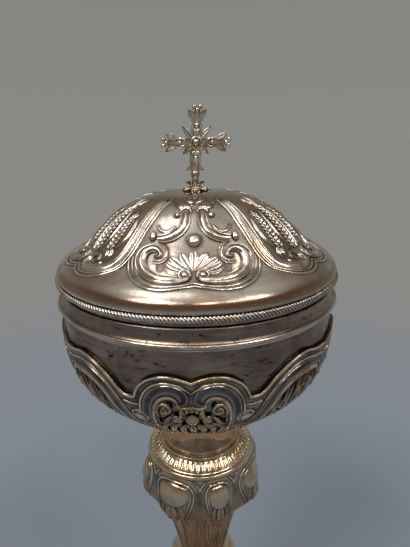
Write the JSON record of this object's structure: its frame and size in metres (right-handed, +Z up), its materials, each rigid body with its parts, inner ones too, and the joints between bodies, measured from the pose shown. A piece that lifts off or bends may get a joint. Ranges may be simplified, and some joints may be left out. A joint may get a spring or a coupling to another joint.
{
  "type": "ciborium",
  "caption": "Covered ciborium: a domed lid with a cross finial on a round cup in a pierced, scalloped false cup, above a knopped stem and a domed round foot.",
  "frame": {"origin": "centre of the underside of the foot", "axes": "+Z up along the axis of the cup; -Y is the pictured front, and the cross on the lid spreads along X"},
  "size_m": [0.128, 0.128, 0.3189],
  "materials": {
    "silver": "polished chased silver with tarnish in the recesses",
    "dark_silver": "tarnished silver with traces of gilding",
    "gilt": "worn gilding over cast and chased silver",
    "steel": "plain turned fittings"
  },
  "bodies": {
    "stand": {"foot_flange": "silver", "foot_rim_band": "silver", "foot_cord_wire": "silver", "foot_shell": "silver", "foot_collar": "gilt", "stem_spool": "gilt", "stem_ring": "gilt", "knop_calyx": "gilt", "spacer_tube": "steel", "knop_body": "gilt", "knop_cap": "gilt", "dentil_ring": "gilt", "neck_ring": "gilt", "cup_collar": "gilt", "cup_bowl": "dark_silver", "cup_bead_wire": "silver", "false_cup": "dark_silver", "cup_boss": "steel", "tie_rod": "steel", "foot_washer": "steel", "foot_nut": "steel"},
    "lid": {"lid_rim_band": "silver", "lid_bezel": "silver", "lid_cord_wire": "silver", "lid_shell": "silver", "finial_calyx": "gilt", "finial_ball": "gilt", "finial_cross": "gilt", "lid_washer": "steel", "lid_nut": "steel"}
  },
  "joints": [
    {"name": "lid_lift", "type": "slide", "parent": "stand", "child": "lid", "axis": [0, 0, 1], "range_m": [0, 0.12]}
  ]
}
